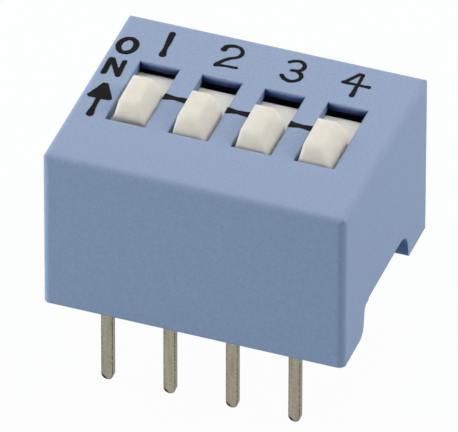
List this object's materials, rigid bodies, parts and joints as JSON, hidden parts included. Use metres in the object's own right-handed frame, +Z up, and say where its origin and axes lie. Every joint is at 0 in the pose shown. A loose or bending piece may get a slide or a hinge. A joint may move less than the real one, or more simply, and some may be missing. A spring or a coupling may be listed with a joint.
{
  "type": "dip switch",
  "caption": "Blue-grey slide dip switch for a through-hole board: a moulded housing with white sliders in slots, printed marks, end feet and two rows of flat pins.",
  "frame": {"origin": "centre of the pin pattern, on the board plane that the feet stand on", "axes": "+X along the row of switches from the first to the last, +Y towards the ON side, +Z up from the board"},
  "size_m": [0.0122, 0.0096, 0.0114],
  "materials": {
    "housing_plastic": "moulded, fine matt grain",
    "base_plastic": "moulded, matt",
    "slider_plastic": "moulded, satin",
    "contact_strip": "rolled spring strip, plated",
    "terminal_strip": "dull tin plate"
  },
  "bodies": {
    "frame": {"housing": "housing_plastic", "base": "base_plastic", "terminal_front_1": "terminal_strip", "terminal_front_2": "terminal_strip", "terminal_front_3": "terminal_strip", "terminal_front_4": "terminal_strip", "terminal_rear_1": "terminal_strip", "terminal_rear_2": "terminal_strip", "terminal_rear_3": "terminal_strip", "terminal_rear_4": "terminal_strip"},
    "slider_1": {"actuator_1": "slider_plastic", "contact_1": "contact_strip"},
    "slider_2": {"actuator_2": "slider_plastic", "contact_2": "contact_strip"},
    "slider_3": {"actuator_3": "slider_plastic", "contact_3": "contact_strip"},
    "slider_4": {"actuator_4": "slider_plastic", "contact_4": "contact_strip"}
  },
  "joints": [
    {"name": "slide_1", "type": "slide", "parent": "frame", "child": "slider_1", "axis": [0, 1, 0], "range_m": [-0.00015, 0.00125]},
    {"name": "slide_2", "type": "slide", "parent": "frame", "child": "slider_2", "axis": [0, 1, 0], "range_m": [0, 0.0014]},
    {"name": "slide_3", "type": "slide", "parent": "frame", "child": "slider_3", "axis": [0, 1, 0], "range_m": [0, 0.0014]},
    {"name": "slide_4", "type": "slide", "parent": "frame", "child": "slider_4", "axis": [0, 1, 0], "range_m": [0, 0.0014]}
  ]
}
